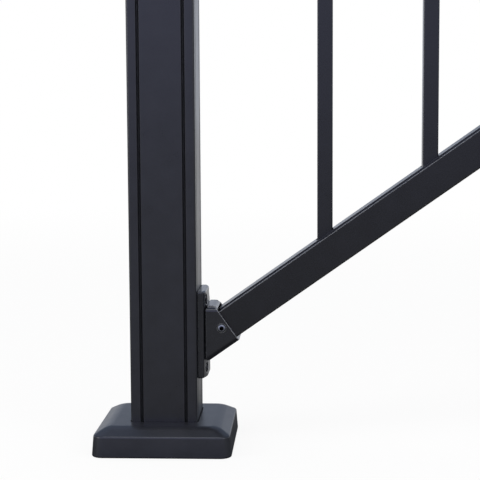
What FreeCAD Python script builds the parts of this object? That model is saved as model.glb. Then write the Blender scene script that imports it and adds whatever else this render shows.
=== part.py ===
"""Sloping railing section for a stair flight: one whole bay from post to post.

Millimetres, +Z up, +X along the run and +Y through the railing. The origin is the
centre of the lower base plate's underside.
"""
import FreeCAD, Part
import math
import os

Vector = FreeCAD.Vector

# Stair line
rise_per_run = 0.7
baluster_spacing = 120.65
baluster_count = 13
end_space = 120.65
bottom_rail_height = 81.7
upper_rail_height = 90.0
panel_height = 860.0

# Post extrusion
post_width = 63.5
post_head = 117.0
post_corner = 3.5
post_wall = 2.6
groove_offset = 21.0
groove_width = 3.2
groove_depth = 2.4
groove_lip = 0.5
rib_wall = 2.0

# Room round the post in the cover and the cap
post_gap = 0.3
post_gap_corner = 2.4

# Base plate
base_side = 100.0
base_thickness = 9.5
base_corner = 2.0
anchor_edge = 12.0
anchor_bore = 5.5

# Base cover
cover_foot = 131.0
cover_side = 128.0
cover_corner = 11.0
cover_wall_height = 19.8
cover_bevel_height = 6.9
cover_plateau = 103.5
cover_thickness = 2.5
cover_foot_edge = 1.2

# Post cap
cap_thickness = 2.5
cap_skirt = 14.0
cap_bevel_height = 4.5
cap_plateau = 52.0
cap_corner = 5.0

# Rails
rail_width = 45.0
rail_height = 29.3
rail_wall = 2.2
rail_floor = 2.2
rail_flange = 1.7
rail_flange_height = 2.0
rail_edge = 0.8
rail_foot_edge = 1.5
handrail_edge = 5.0
guide_height = 3.0
guide_wall = 1.2
rail_end_gap = 0.3

# Snap-in strips
strip_inset = 2.0
strip_rise = 1.6
strip_edge = 0.5
strip_leg_wall = 1.5
strip_leg_drop = 7.0
strip_leg_gap = 0.3
strip_hook = 0.8
strip_hook_gap = 0.15
strip_end_gap = 0.5

# Balusters
baluster_width = 14.5
baluster_wall = 1.3
baluster_corner = 1.2
baluster_gap = 0.3

# Stair brackets
plate_thickness = 9.2
plate_rim = 6.0
plate_width = 54.0
plate_crown = 26.0
plate_below = 14.2
plate_above = 68.0
plate_edge = 1.0
plate_taper = 1.3
plate_taper_length = 11.0
pocket_offset = 17.0
pocket_floor = 5.5
upper_pocket = 5.4
lower_pocket = 5.0
upper_pocket_drop = 7.5
lower_pocket_rise = 9.4
plate_screw_bore = 2.6
cup_wall = 3.0
cup_cheek = 3.2
cup_cheek_back = 1.6
cup_side_gap = 0.3
cup_top_gap = 2.2
cup_lip = 3.6
cup_roof_length = 9.1
cup_over_rail = 3.65
cup_mouth_lean = 3.6
cup_edge = 1.4
cup_roof_rise = 0.9
cup_roof_inset = 6.0
cup_roof_corner = 3.5
cup_roof_back = 0.8
cup_screw_from_end = 9.1
cup_screw_bore = 2.4

# Corners under this radius are cut flat, to keep the solids light
round_from = 2.5

# Places worked out from the sizes above
slope = math.atan(rise_per_run)
post_half = post_width / 2
baluster_pitch = baluster_spacing * math.cos(slope)
clear_run = 2 * end_space + (baluster_count - 1) * baluster_pitch
post_spacing = clear_run + post_width
rail_drop = rail_height / math.cos(slope)
post_height = max(bottom_rail_height, upper_rail_height) + panel_height + post_head
top_rail_height = bottom_rail_height + panel_height - rail_drop
upper_base_height = bottom_rail_height + rise_per_run * clear_run - upper_rail_height
anchor_spacing = base_side - 2 * anchor_edge
cup_back = plate_thickness
cup_top_up = rail_height + cup_over_rail
cup_top_along = (cup_back + cup_roof_length + cup_top_up * math.sin(slope)) / math.cos(slope)
mouth_lean = math.tan(math.radians(cup_mouth_lean))
cup_reach = cup_top_along + (cup_top_up + cup_lip) * mouth_lean
rail_start = post_half + cup_back + cup_wall + rail_end_gap
rail_finish = post_spacing - rail_start
sloped_run = clear_run / math.cos(slope) + rail_height * math.tan(slope)
mouth_half = rail_width / 2 - rail_wall - rail_flange
cup_width = rail_width + 2 * (cup_side_gap + cup_cheek)


def on_level(point):
    """Plan drawing: the point's two values are X and Y."""
    return Vector(point.x, point.y, 0)


def on_side(point):
    """Side drawing: the point's two values are X and Z."""
    return Vector(point.x, 0, point.y)


def on_end(point):
    """Section drawing: the point's two values are Y and Z."""
    return Vector(0, point.x, point.y)


def outline(corners, drawing):
    """Closed wire through (a, b, radius) corners, rounded, or cut flat where small."""
    points = [Vector(a, b, 0) for a, b, _ in corners]
    bends = []
    for index, (_, _, radius) in enumerate(corners):
        corner = points[index]
        back = (points[index - 1] - corner).normalize()
        ahead = (points[(index + 1) % len(points)] - corner).normalize()
        half_turn = back.getAngle(ahead) / 2
        reach = radius / math.tan(half_turn)
        inward = (back + ahead).normalize()
        middle = corner + inward * (radius / math.sin(half_turn) - radius)
        bends.append((corner + back * reach, middle, corner + ahead * reach))
    edges = []
    for index, (start, middle, end) in enumerate(bends):
        if corners[index][2] >= round_from:
            edges.append(Part.Arc(drawing(start), drawing(middle), drawing(end)).toShape())
        elif start.distanceToPoint(end) > 1e-6:
            edges.append(Part.LineSegment(drawing(start), drawing(end)).toShape())
        following = bends[(index + 1) % len(bends)][0]
        if end.distanceToPoint(following) > 1e-6:
            edges.append(Part.LineSegment(drawing(end), drawing(following)).toShape())
    return Part.Wire(edges)


def swept(corners, drawing, sweep):
    """Solid of an outline swept along a vector."""
    return Part.Face(outline(corners, drawing)).extrude(sweep)


def rectangle(width, depth, radius=0.0, height=0.0):
    """Corners of a rectangle centred on the first axis and starting at a height."""
    half = width / 2
    return [(-half, height, radius), (half, height, radius),
            (half, height + depth, radius), (-half, height + depth, radius)]


def square(side, radius=0.0):
    """Corners of a square centred on both axes."""
    return rectangle(side, side, radius, -side / 2)


def cornerless_square(side, cut):
    """Corners of a square centred on both axes with its corners cut off flat."""
    half, inner = side / 2, side / 2 - cut
    return [(-inner, -half, 0), (inner, -half, 0), (half, -inner, 0), (half, inner, 0),
            (inner, half, 0), (-inner, half, 0), (-half, inner, 0), (-half, -inner, 0)]


def square_bar(side, radius, height):
    """Upright bar of square section standing on Z 0."""
    return swept(square(side, radius), on_level, Vector(0, 0, height))


def side_face(below, above):
    """Face between two like edges: flat between lines, ruled between arcs."""
    if not isinstance(below.Curve, Part.Line):
        return Part.makeRuledSurface(below, above)
    first, second = [vertex.Point for vertex in below.Vertexes]
    third, fourth = [vertex.Point for vertex in above.Vertexes]
    return Part.Face(Part.makePolygon([first, second, fourth, third, first]))


def level_loft(foot_corners, top_corners, foot, top):
    """Solid between an outline at one height and a like one above it."""
    lower = outline(foot_corners, on_level)
    upper = outline(top_corners, on_level)
    lower.translate(Vector(0, 0, foot))
    upper.translate(Vector(0, 0, top))
    faces = [side_face(below, above) for below, above in zip(lower.Edges, upper.Edges)]
    shell = Part.makeShell(faces + [Part.Face(lower), Part.Face(upper)])
    shell.sewShape()
    solid = Part.makeSolid(shell)
    solid.fixTolerance(1e-7)
    return solid if solid.Volume > 0 else solid.reversed()


def round_bar(radius, start, sweep):
    """Cylinder from a point along a vector."""
    return Part.makeCylinder(radius, sweep.Length, start, sweep)


def place(shape, x=0.0, y=0.0, z=0.0):
    """The same shape moved by x, y and z."""
    shape.translate(Vector(x, y, z))
    return shape


def tilt(shape):
    """Turn a level shape about the origin to the stair slope."""
    shape.rotate(Vector(0, 0, 0), Vector(0, 1, 0), -math.degrees(slope))
    return shape


def on_slope(along, up):
    """X and Z of a point given along and square to the slope."""
    return (along * math.cos(slope) - up * math.sin(slope),
            along * math.sin(slope) + up * math.cos(slope))


def four_sides(side_points):
    """Repeat one side's (along, out, radius) points round a square, turning left."""
    corners = []
    for turn in range(4):
        cosine, sine = round(math.cos(turn * math.pi / 2)), round(math.sin(turn * math.pi / 2))
        for along, out, radius in side_points:
            corners.append((out * cosine - along * sine, out * sine + along * cosine, radius))
    return corners


def post_outside():
    """Post outline with two grooves in each face."""
    side = [(-post_half, post_half, post_corner)]
    floor = post_half - groove_depth
    for centre in (-groove_offset, groove_offset):
        first, last = centre - groove_width / 2, centre + groove_width / 2
        side += [(first, post_half, groove_lip), (first, floor, 0),
                 (last, floor, 0), (last, post_half, groove_lip)]
    return four_sides(side)


def post_inside():
    """Inner outline of the post, thickened behind each groove."""
    inner = post_half - post_wall
    side = [(-inner, inner, 0)]
    rib_face = post_half - groove_depth - rib_wall
    for centre in (-groove_offset, groove_offset):
        first = centre - groove_width / 2 - rib_wall
        last = centre + groove_width / 2 + rib_wall
        side += [(first, inner, 0), (first, rib_face, 0),
                 (last, rib_face, 0), (last, inner, 0)]
    return four_sides(side)


def post():
    """Hollow post from the base plate up."""
    upward = Vector(0, 0, post_height - base_thickness)
    hollow = swept(post_inside(), on_level, upward)
    return place(swept(post_outside(), on_level, upward).cut(hollow), z=base_thickness)


def base_plate():
    """Flat plate with four anchor holes."""
    plate = square_bar(base_side, base_corner, base_thickness)
    upward = Vector(0, 0, base_thickness)
    for x in (-anchor_spacing / 2, anchor_spacing / 2):
        for y in (-anchor_spacing / 2, anchor_spacing / 2):
            plate = plate.cut(round_bar(anchor_bore, Vector(x, y, 0), upward))
    return plate


def stepped_box(section, corner, levels):
    """Solid through like sections, given as (height, side) levels from the foot up."""
    box = None
    for (foot, foot_side), (top, top_side) in zip(levels, levels[1:]):
        piece = level_loft(section(foot_side, corner), section(top_side, corner), foot, top)
        box = box.fuse(piece) if box else piece
    return box


def post_room(height):
    """Square room that the post takes up in another piece."""
    return square_bar(post_width + 2 * post_gap, post_gap_corner, height)


def base_cover():
    """Shell that slides down the post and hides the base plate."""
    wall, top = cover_thickness, cover_wall_height + cover_bevel_height
    shell = stepped_box(square, cover_corner, [
        (0, cover_foot - 2 * cover_foot_edge), (cover_foot_edge, cover_foot),
        (cover_wall_height, cover_side), (top, cover_plateau)])
    hollow = stepped_box(cornerless_square, cover_corner / 2, [
        (0, cover_foot - 2 * wall), (cover_wall_height - wall, cover_side - 2 * wall),
        (top - wall, cover_plateau - wall)])
    return shell.cut(hollow).cut(post_room(top))


def post_cap():
    """Cap that fits over the post's top, with a bevel like the base cover's."""
    side = post_width + 2 * (post_gap + cap_thickness)
    wall_top = cap_skirt + cap_thickness
    shell = stepped_box(square, cap_corner, [
        (0, side), (wall_top, side), (wall_top + cap_bevel_height, cap_plateau)])
    return shell.cut(post_room(cap_skirt))


def channel_section(far_edge):
    """Rail channel with its mouth upward: side flanges at the mouth, guides on the floor."""
    half, top = rail_width / 2, rail_height
    inner, flange = half - rail_wall, top - rail_flange_height
    guide = baluster_width / 2 + baluster_gap
    guide_top = rail_floor + guide_height
    right = [(half, 0, far_edge), (half, top, rail_edge), (mouth_half, top, rail_edge / 2),
             (mouth_half, flange, 0), (inner, flange, 0), (inner, rail_floor, rail_edge),
             (guide + guide_wall, rail_floor, 0), (guide + guide_wall, guide_top, 0),
             (guide, guide_top, 0), (guide, rail_floor, 0)]
    left = [(-y, z, radius) for y, z, radius in reversed(right)]
    return right + left


def strip_section():
    """Strip that closes the channel's mouth: a flat top on two hooked legs."""
    half, under = rail_width / 2 - strip_inset, rail_height
    leg = mouth_half - strip_leg_gap
    leg_inside, leg_foot = leg - strip_leg_wall, under - strip_leg_drop
    hook_top = under - rail_flange_height - strip_hook_gap
    hook_foot = hook_top - 2 * strip_hook
    right = [(half, under + strip_rise, strip_edge), (half, under, 0), (leg, under, 0),
             (leg, hook_top, 0), (leg + strip_hook, hook_top, 0), (leg, hook_foot, 0),
             (leg, leg_foot, 0), (leg_inside, leg_foot, 0), (leg_inside, under, 0)]
    left = [(-y, z, radius) for y, z, radius in reversed(right)]
    return right + left


def between_uprights(shape, first, last):
    """The part of a sloping shape between two upright planes across X."""
    height = upper_base_height + post_height + panel_height
    window = Part.makeBox(last - first, 2 * rail_width, 2 * height,
                          Vector(first, -rail_width, -height))
    return shape.common(window)


def sloping_length(section, underside):
    """A section swept along the whole slope, its underside at the lower post's face."""
    margin = rail_width
    length = sloped_run + 2 * margin
    level = place(swept(section, on_end, Vector(length, 0, 0)), x=-margin)
    return place(tilt(level), x=post_half, z=underside)


def upside_down(section):
    """Section drawn with its mouth downward, in the same height."""
    return [(-y, rail_height - z, radius) for y, z, radius in section]


def bottom_rail():
    """Channel with its mouth upward."""
    rail = sloping_length(channel_section(rail_foot_edge), bottom_rail_height)
    return between_uprights(rail, rail_start, rail_finish)


def top_rail():
    """Channel with its mouth downward and a well rounded top."""
    rail = sloping_length(upside_down(channel_section(handrail_edge)), top_rail_height)
    return between_uprights(rail, rail_start, rail_finish)


def strip_ends(mouth_up):
    """How far a strip stops short of each post, along the slope."""
    at_lip = cup_reach + strip_end_gap
    under_roof = at_lip - (rail_height + cup_lip) * mouth_lean
    return (under_roof, at_lip) if mouth_up else (at_lip, under_roof)


def strip(section, underside, mouth_up):
    """Mouth strip between the cups, with a square hole for each baluster."""
    low_end, high_end = strip_ends(mouth_up)
    level = swept(section, on_end, Vector(sloped_run - low_end - high_end, 0, 0))
    body = place(tilt(place(level, x=low_end)), x=post_half, z=underside)
    hole_side = baluster_width + 2 * baluster_gap
    for x in baluster_places():
        drop = rise_per_run * hole_side + 2 * rail_drop
        middle = underside + rise_per_run * (x - post_half) + rail_drop / 2
        hole = square_bar(hole_side, 0.0, 2 * drop)
        body = body.cut(place(hole, x=x, z=middle - drop))
    return body


def baluster_places():
    """X of each baluster's centre."""
    first = post_half + end_space
    return [first + index * baluster_pitch for index in range(baluster_count)]


def baluster(x):
    """Square tube standing on the bottom channel's floor and reaching the top channel's."""
    floor = rail_floor / math.cos(slope)
    high_side, low_side = x + baluster_width / 2, x - baluster_width / 2
    foot = bottom_rail_height + floor + rise_per_run * (high_side - post_half)
    top = top_rail_height + rail_drop - floor + rise_per_run * (low_side - post_half)
    tube = square_bar(baluster_width, baluster_corner, top - foot)
    bore = square_bar(baluster_width - 2 * baluster_wall, 0.0, top - foot)
    return place(tube.cut(bore), x=x, z=foot)


def plate_pockets():
    """Height and radius of the bracket plate's upper and lower pockets."""
    return ((plate_above - upper_pocket_drop, upper_pocket),
            (lower_pocket_rise - plate_below, lower_pocket))


def plate_taper_room():
    """Wedge taken off the plate's crown at its top."""
    front, top = plate_thickness, plate_above
    corners = [(front, top - plate_taper_length, 0), (front + plate_taper, top, 0),
               (front - plate_taper, top, 0)]
    return place(swept(corners, on_side, Vector(0, plate_width, 0)), y=-plate_width / 2)


def bracket_plate():
    """Crowned wall plate of a stair bracket, from X 0, with four screw pockets."""
    half, crown = plate_width / 2, plate_crown / 2
    corners = [(0, -half, 0), (plate_rim, -half, plate_edge), (plate_thickness, -crown, 0),
               (plate_thickness, crown, 0), (plate_rim, half, plate_edge), (0, half, 0)]
    plate = swept(corners, on_level, Vector(0, 0, plate_below + plate_above))
    plate = place(plate, z=-plate_below).cut(plate_taper_room())
    for height, radius in plate_pockets():
        for y in (-pocket_offset, pocket_offset):
            floor = Vector(pocket_floor, y, height)
            plate = plate.cut(round_bar(radius, floor, Vector(plate_thickness, 0, 0)))
            plate = plate.cut(round_bar(plate_screw_bore, floor, Vector(-pocket_floor, 0, 0)))
    return plate


def mouth_point(up):
    """X and Z of a point on a cup's mouth, which leans back from square to the slope."""
    return on_slope(cup_reach - (up + cup_lip) * mouth_lean, up)


def cup_cheeks():
    """Wedge block of a cup: its underside runs along the slope and its top is level."""
    back = cup_back - cup_cheek_back
    mouth_foot, mouth_top = mouth_point(-cup_lip), mouth_point(cup_top_up)
    back_foot = rise_per_run * back - cup_lip / math.cos(slope)
    corners = [(back, back_foot, 0), mouth_foot + (0,), mouth_top + (0,),
               (back, mouth_top[1], 0)]
    block = place(swept(corners, on_side, Vector(0, cup_width, 0)), y=-cup_width / 2)
    return block.makeChamfer(cup_edge, block.Edges)


def cup_roof():
    """Raised roof of a cup, set in from the cheeks' outer faces."""
    raised = cup_top_up + cup_roof_rise / math.cos(slope)
    mouth_foot, mouth_top = mouth_point(rail_height), mouth_point(raised)
    back_foot = rise_per_run * cup_back + rail_drop
    corners = [(cup_back, back_foot, 0), mouth_foot + (0,), mouth_top + (cup_roof_corner,),
               (cup_back, mouth_top[1], cup_roof_back)]
    width = cup_width - 2 * cup_roof_inset
    return place(swept(corners, on_side, Vector(0, width, 0)), y=-width / 2)


def cup_pocket():
    """Room for the rail's end between the cheeks, in front of the back wall."""
    width = rail_width + 2 * cup_side_gap
    room = tilt(Part.makeBox(4 * cup_reach, width, rail_height + cup_top_gap,
                             Vector(-cup_reach, -width / 2, 0)))
    front = Part.makeBox(4 * cup_reach, 2 * cup_width, 8 * cup_reach,
                         Vector(cup_back + cup_wall, -cup_width, -4 * cup_reach))
    return room.common(front)


def cup_crown_room():
    """Room between the cheeks for the wall plate's crown."""
    return Part.makeBox(cup_reach, rail_width, 8 * cup_reach,
                        Vector(cup_back - cup_reach, -rail_width / 2, -4 * cup_reach))


def bracket_cup():
    """Wedge cup that takes the rail's end between two cheeks, a lip and a roof."""
    cup = cup_cheeks().cut(cup_crown_room()).fuse(cup_roof()).cut(cup_pocket())
    x, z = on_slope(cup_reach - cup_screw_from_end, rail_height / 2)
    screw = round_bar(cup_screw_bore, Vector(x, -cup_width / 2, z), Vector(0, cup_width, 0))
    return cup.removeSplitter().cut(screw)


def at_lower_post(shape, underside):
    """Bracket piece on the lower post's face, under a rail's underside."""
    return place(shape, x=post_half, z=underside)


def at_upper_post(shape, underside):
    """The same bracket piece turned over, on the upper post's face."""
    shape.rotate(Vector(0, 0, 0), Vector(0, 1, 0), 180)
    height = underside + rise_per_run * clear_run + rail_drop
    return place(shape, x=post_spacing - post_half, z=height)


def post_pieces():
    """Both posts with their plates, covers and caps."""
    pieces = {}
    for name, x, z in (("lower", 0.0, 0.0), ("upper", post_spacing, upper_base_height)):
        pieces[name + "_post"] = place(post(), x=x, z=z)
        pieces[name + "_base_plate"] = place(base_plate(), x=x, z=z)
        pieces[name + "_base_cover"] = place(base_cover(), x=x, z=z)
        pieces[name + "_post_cap"] = place(post_cap(), x=x, z=z + post_height - cap_skirt)
    return pieces


def rail_pieces():
    """Both rails with their strips and the brackets at both ends."""
    pieces = {
        "bottom_rail": bottom_rail(),
        "bottom_rail_strip": strip(strip_section(), bottom_rail_height, True),
        "top_rail": top_rail(),
        "top_rail_strip": strip(upside_down(strip_section()), top_rail_height, False),
    }
    for rail, underside in (("bottom", bottom_rail_height), ("top", top_rail_height)):
        for post_name, seat in (("lower", at_lower_post), ("upper", at_upper_post)):
            name = post_name + "_" + rail + "_bracket_"
            pieces[name + "plate"] = seat(bracket_plate(), underside)
            pieces[name + "cup"] = seat(bracket_cup(), underside)
    return pieces


def baluster_pieces():
    """All the balusters, numbered up the slope."""
    return {"baluster_%02d" % number: baluster(x)
            for number, x in enumerate(baluster_places(), start=1)}


def main():
    """Write one STEP file for each piece."""
    os.makedirs("parts", exist_ok=True)
    pieces = {**post_pieces(), **rail_pieces(), **baluster_pieces()}
    for name, shape in pieces.items():
        if not shape.isValid() or len(shape.Solids) != 1:
            raise ValueError("%s is not one valid solid" % name)
        shape.Solids[0].exportStep("parts/" + name + ".step")
        box = shape.BoundBox
        print("%-28s %9.0f mm3  X %8.1f %8.1f  Z %8.1f %8.1f" % (
            name, shape.Volume, box.XMin, box.XMax, box.ZMin, box.ZMax))


main()
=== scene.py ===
"""Looks of a sloping stair railing section, built round its packed frame.

Metres, +Z up, +X along the run and +Y through the railing, as in the frame. The two base
plates keep the shape that the frame gives them. Every other piece is modelled here with its
finer edges, the screws are added, and every piece has a coat made of nodes.
"""
import math

import bmesh
import bpy
from bpy.props import FloatProperty, FloatVectorProperty, IntProperty, PointerProperty
from mathutils import Matrix, Vector


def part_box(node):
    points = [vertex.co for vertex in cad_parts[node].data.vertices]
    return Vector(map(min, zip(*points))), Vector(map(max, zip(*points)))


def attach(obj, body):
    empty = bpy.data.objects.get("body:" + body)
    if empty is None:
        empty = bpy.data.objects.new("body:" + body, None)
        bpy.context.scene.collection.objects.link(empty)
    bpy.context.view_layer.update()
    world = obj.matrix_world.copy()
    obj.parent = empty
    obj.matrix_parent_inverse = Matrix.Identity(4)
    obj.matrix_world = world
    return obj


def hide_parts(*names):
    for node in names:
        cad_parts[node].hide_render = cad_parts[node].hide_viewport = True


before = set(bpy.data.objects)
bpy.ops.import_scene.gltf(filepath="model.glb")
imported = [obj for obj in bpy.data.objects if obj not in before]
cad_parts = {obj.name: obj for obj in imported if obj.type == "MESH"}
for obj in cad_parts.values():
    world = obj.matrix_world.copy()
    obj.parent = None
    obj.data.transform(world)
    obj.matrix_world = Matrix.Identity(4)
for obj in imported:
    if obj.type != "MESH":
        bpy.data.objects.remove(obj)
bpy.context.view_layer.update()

bl_info = {
    "name": "Stair railing section",
    "version": (1, 0, 0),
    "blender": (4, 5, 0),
    "location": "View3D > Sidebar > Railing",
    "description": "Builds the visible pieces, coats and studio of a stair railing section",
    "category": "Object",
}

# The slope and the directions along and off it.
SLOPE = math.atan(0.7)
UPRIGHT = Vector((0.0, 0.0, 1.0))
ALONG_SLOPE = Vector((math.cos(SLOPE), 0.0, math.sin(SLOPE)))
OFF_SLOPE = Vector((-math.sin(SLOPE), 0.0, math.cos(SLOPE)))

# How near two places touch, how upright an edge stands and how squarely a face looks.
TOUCH = 1e-5
STRAIGHT = 0.99
FACING = 0.9

# Reach of the shapes that are cut down to a piece or cut through one.
LONG = 0.4
OVERSHOOT = 0.01
WEDGE_MARGIN = 0.05

# Wall plates of the brackets, from the post's face and the height of the rail's underside.
PLATE_BELOW = 0.0142
PLATE_ABOVE = 0.0688
PLATE_WIDTH = 0.054
PLATE_CROWN = 0.03
PLATE_THICKNESS = 0.0092
PLATE_RIM = 0.006
PLATE_TAPER = 0.0013
PLATE_TAPER_LENGTH = 0.011
PLATE_BORE = 0.0026
POCKET_FLOOR = 0.0055
POCKET_OFFSET = 0.017
# Height and radius of the screw pockets.
POCKETS = {"upper": (0.0605, 0.0054), "lower": (-0.0048, 0.005)}

# Wedge cups of the brackets.
CUP_BACK = 0.0092
CUP_CHEEK_BACK = 0.0016
CUP_WALL = 0.003
CUP_LIP = 0.0045
CUP_WIDTH = 0.052
CUP_TOP_UP = 0.0333
CUP_ROOF_LENGTH = 0.0087
MOUTH_LEAN = math.tan(math.radians(0.2))
CUP_TOP_ALONG = (CUP_BACK + CUP_ROOF_LENGTH + CUP_TOP_UP * math.sin(SLOPE)) / math.cos(SLOPE)
CUP_REACH = CUP_TOP_ALONG + (CUP_TOP_UP + CUP_LIP) * MOUTH_LEAN
CUP_BORE = 0.0024
ROOM_WIDTH = 0.0464
ROOM_HEIGHT = 0.0315
# Rounding of the cheeks' top edges that run across, as a share of the long ones'.
ACROSS_SHARE = 0.7

# Screws: their seats in the cheeks, the play of the shank and the dome's share of the head.
SCREW_SEAT = 0.0041
SEAT_DEPTH = 0.0003
CHEEK_SCREW_FROM_END = 0.0068
SHANK_PLAY = 0.0003
SHANK_LENGTH = 0.003
DOME_SHARE = 0.75
SOCKET_EDGE = 0.00015

# Rails, and the strips in their mouths with the play to the mouth's sides, lip and floor.
RAIL_WIDTH = 0.045
RAIL_HEIGHT = 0.0293
RAIL_REST = 0.0008
LIP_THICKNESS = 0.0014
MOUTH_WIDTH = 0.0372
MOUTH_DEPTH = 0.007
STRIP_TOP = 0.025
SIDE_PLAY = 0.0006
LIP_PLAY = 0.0004
FLOOR_PLAY = 0.0005
BALUSTER_HOLE = 0.0157

# Room for the post in the covers and caps.
POST_ROOM = 0.0649
POST_ROOM_CORNER = 0.0032

# Rounding of crisp edges, in the mesh and in the shading.
FINE_EDGE = 0.0003
SHADED_EDGE = 0.0004

# Change of roughness by the mottle and by the dust.
COAT_MOTTLE = 0.14
SCREW_MOTTLE = 0.16
DUST_DULLNESS = 0.3
# Painted shade in a screw's socket: the share of its colour that is left where little light falls.
SOCKET_SHADE = 0.14

# Directions between which the studio changes, as parts of a unit vector.
WALL_BAND = (0.06, 0.3)
SIDE_BAND = (-0.12, 0.04)
HIGH_BAND = (-0.03, 0.12)
FRONT_BAND = (0.3, 0.8)
CEILING_BAND = (0.45, 0.85)
SIDE_DIMMING = 0.45

# The floor's white at the railing, and the distances between which it gets full.
NEAR_WHITE = 0.88
WHITE_BAND = (0.5, 3.5)
# Grey of the floor in the gloss, by its distance behind the railing, with a painted shadow: the
# dark band right under the railing.
FLOOR_IN_GLOSS_AND_SHADOW = ((-5.0, 0.5), (-2.7, 0.4), (-0.45, 0.29), (-0.17, 0.36), (-0.1, 0.06),
                  (0.05, 0.06), (0.11, 0.1), (0.26, 0.42), (0.5, 0.5), (2.7, 0.95), (5.0, 1.0))

# Roughness, depth of the black, edge wear with painted edge highlight, width of that edge band,
# dust and coarseness of each coat. The rails and brackets take the most, which paints bright lines
# along their edges.
FINISHES = {
    "post_coat": (0.3, 1.4, 0.06, 0.0009, 0.03, 1.0),
    "plate_coat": (0.5, 1.4, 0.2, 0.0009, 0.15, 1.5),
    "cover_coat": (0.3, 1.7, 0.1, 0.0009, 0.03, 1.4),
    "cap_coat": (0.3, 1.2, 0.1, 0.0009, 0.03, 1.4),
    "rail_coat": (0.27, 0.5, 0.9, 0.0012, 0.03, 1.0),
    "strip_coat": (0.26, 0.6, 0.1, 0.0006, 0.04, 0.9),
    "bracket_coat": (0.2, 1.3, 1.0, 0.0012, 0.04, 1.5),
    "baluster_coat": (0.28, 0.7, 0.06, 0.0009, 0.03, 1.0),
}

BALUSTERS = sorted(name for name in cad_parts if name.startswith("baluster_"))
POSTS = ("lower", "upper")
BRACKETS = [post + "_" + rail for post in POSTS for rail in ("bottom", "top")]
coats = {}


def length(name, description, default, low, high, **more):
    """Property for a length."""
    return FloatProperty(name=name, description=description, default=default, min=low,
                         max=high, unit="LENGTH", **more)


def tint(name, description, default, high=1.0):
    """Property for a colour."""
    return FloatVectorProperty(name=name, description=description, default=default, size=3,
                               min=0.0, max=high, subtype="COLOR")


def lamp_power(name, description, default):
    """Property for the power of a lamp."""
    return FloatProperty(name=name, description=description, default=default, min=0.0,
                         max=500.0, unit="POWER")


class RailingCoverSettings(bpy.types.PropertyGroup):
    """Sizes of the covers over the base plates."""

    foot: length("Foot side", "Width of a cover at its foot", 0.131, 0.11, 0.2)
    side: length("Wall top side", "Width of a cover at the top of its walls", 0.128, 0.11, 0.2)
    corner: length("Corner radius", "Radius of the upright corners", 0.011, 0.002, 0.02)
    wall_height: length("Wall height", "Height of the upright wall", 0.0198, 0.01, 0.05)
    plateau: length("Plateau side", "Width of the flat top", 0.1035, 0.07, 0.12)
    thickness: length("Sheet thickness", "Thickness of the metal", 0.0025, 0.001, 0.005)
    plateau_edge: length("Plateau rounding", "Width of the soft ridge round the flat top",
                         0.0055, 0.0002, 0.008)
    wall_edge: length("Wall rounding", "Width of the ridge at the top of the walls",
                      0.0013, 0.0002, 0.004)
    foot_edge: length("Foot rounding", "Width of the rounding round the foot",
                      0.0014, 0.0002, 0.002)


class RailingCapSettings(bpy.types.PropertyGroup):
    """Sizes of the caps on the posts."""

    corner: length("Corner radius", "Radius of the upright corners", 0.005, 0.001, 0.01)
    wall_height: length("Wall height", "Height of the upright wall", 0.0165, 0.005, 0.04)
    plateau: length("Plateau side", "Width of the flat top", 0.052, 0.02, 0.065)
    skirt: length("Skirt depth", "How far the cap reaches down the post", 0.014, 0.005, 0.03)
    edge: length("Edge radius", "Rounding of every crisp edge", 0.0006, 0.0001, 0.002)


class RailingPlateSettings(bpy.types.PropertyGroup):
    """Sizes of the wall plates of the stair brackets."""

    edge: length("Edge radius", "Rounding of the outer edges", 0.0018, 0.0003, 0.003)
    wall_edge: length("Wall edge radius", "Rounding of the edges against the post",
                      0.0012, 0.0002, 0.003)
    crown_edge: length("Crown rounding", "Width of the soft bend beside the crown",
                       0.004, 0.0005, 0.006)
    pocket_edge: length("Pocket edge", "Rounding of the screw pockets' edges",
                        0.00035, 0.0001, 0.0008)


class RailingCupSettings(bpy.types.PropertyGroup):
    """Sizes of the wedge cups that hold the rails' ends."""

    top_edge: length("Top edge radius", "Rounding of the cheeks' upper edges",
                     0.0036, 0.0005, 0.004)
    cheek_edge: length("Cheek edge radius", "Rounding of the cheeks' other outer edges",
                       0.0014, 0.0003, 0.003)
    foot_edge: length("Foot edge radius", "Rounding of the cheeks' lower edges",
                      0.006, 0.0003, 0.008)
    mouth_edge: length("Mouth edge radius", "Rounding of the edges round the mouth",
                       0.0005, 0.0002, 0.002)
    roof_edge: length("Roof edge radius", "Rounding of the raised roof's side edges",
                      0.0005, 0.0001, 0.002)
    roof_corner: length("Roof corner radius", "Rounding of the roof's end over the mouth",
                        0.0035, 0.0003, 0.005)
    roof_rise: length("Roof rise", "How far the roof stands above the cheeks",
                      0.0016, 0.0002, 0.003)
    roof_inset: length("Roof inset", "How far the roof is set in from the cheeks",
                       0.006, 0.001, 0.01)


class RailingScrewSettings(bpy.types.PropertyGroup):
    """Sizes of the visible screw heads."""

    head_radius: length("Head radius", "Radius of the screw heads", 0.0039, 0.002, 0.006)
    head_height: length("Head height", "Height of the screw heads", 0.0023, 0.001, 0.004)
    socket_radius: length("Socket radius", "Radius of the six-sided socket's corners",
                          0.00215, 0.001, 0.003)
    socket_depth: length("Socket depth", "Depth of the socket", 0.0036, 0.0005, 0.005)


class RailingPostSettings(bpy.types.PropertyGroup):
    """Sizes of the grooved posts."""

    corner: length("Corner radius", "Radius of a post's upright corners", 0.0026, 0.0005, 0.006)
    groove: length("Cut width", "Width of each of a groove's two V cuts", 0.0019, 0.0005, 0.004)
    groove_split: length("Cut spacing", "Distance between a groove's two V cuts",
                         0.0014, 0.0001, 0.004)
    groove_depth: length("Cut depth", "Depth of the V cuts", 0.0024, 0.0003, 0.005)
    groove_offset: length("Groove offset", "Distance of the grooves from the middle of a face",
                          0.021, 0.005, 0.028)
    lip: length("Lip radius", "Rounding of the grooves' edges", 0.00025, 0.0001, 0.001)


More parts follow.
